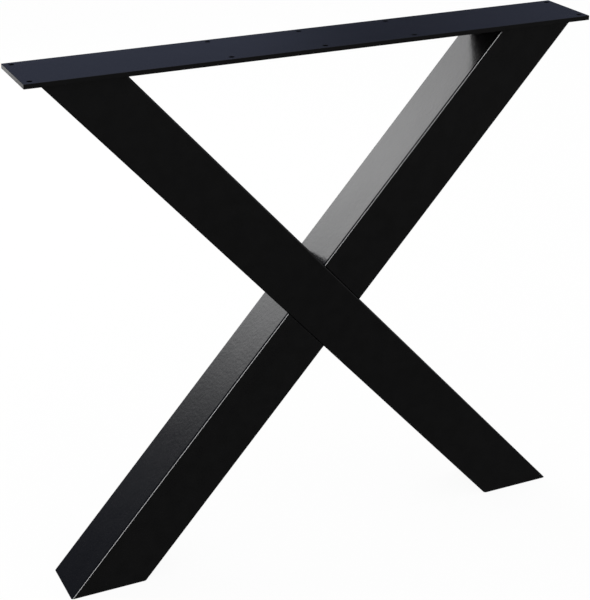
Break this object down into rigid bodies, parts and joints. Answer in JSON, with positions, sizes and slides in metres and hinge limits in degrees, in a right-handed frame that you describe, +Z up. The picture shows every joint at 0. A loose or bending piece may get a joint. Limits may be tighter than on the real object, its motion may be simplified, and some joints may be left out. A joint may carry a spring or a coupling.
{
  "type": "table base",
  "caption": "X-shaped table leg frame of welded square steel tube under a drilled mounting plate, coated black.",
  "frame": {"origin": "on the floor, under the middle of the mounting plate", "axes": "+X along the mounting plate, +Y to the back, +Z up"},
  "size_m": [0.78, 0.1, 0.72],
  "materials": {
    "leg_coat": "satin black powder coat",
    "plate_coat": "satin black powder coat",
    "weld_coat": "satin black powder coat over weld beads"
  },
  "bodies": {
    "root": {"mounting_plate": "plate_coat", "through_leg": "leg_coat", "upper_half_leg": "leg_coat", "lower_half_leg": "leg_coat", "left_foot_plate": "plate_coat", "right_foot_plate": "plate_coat", "left_foot_weld": "weld_coat", "right_foot_weld": "weld_coat", "left_plate_weld": "weld_coat", "right_plate_weld": "weld_coat", "upper_seam_welds": "weld_coat", "lower_seam_welds": "weld_coat"}
  },
  "joints": []
}
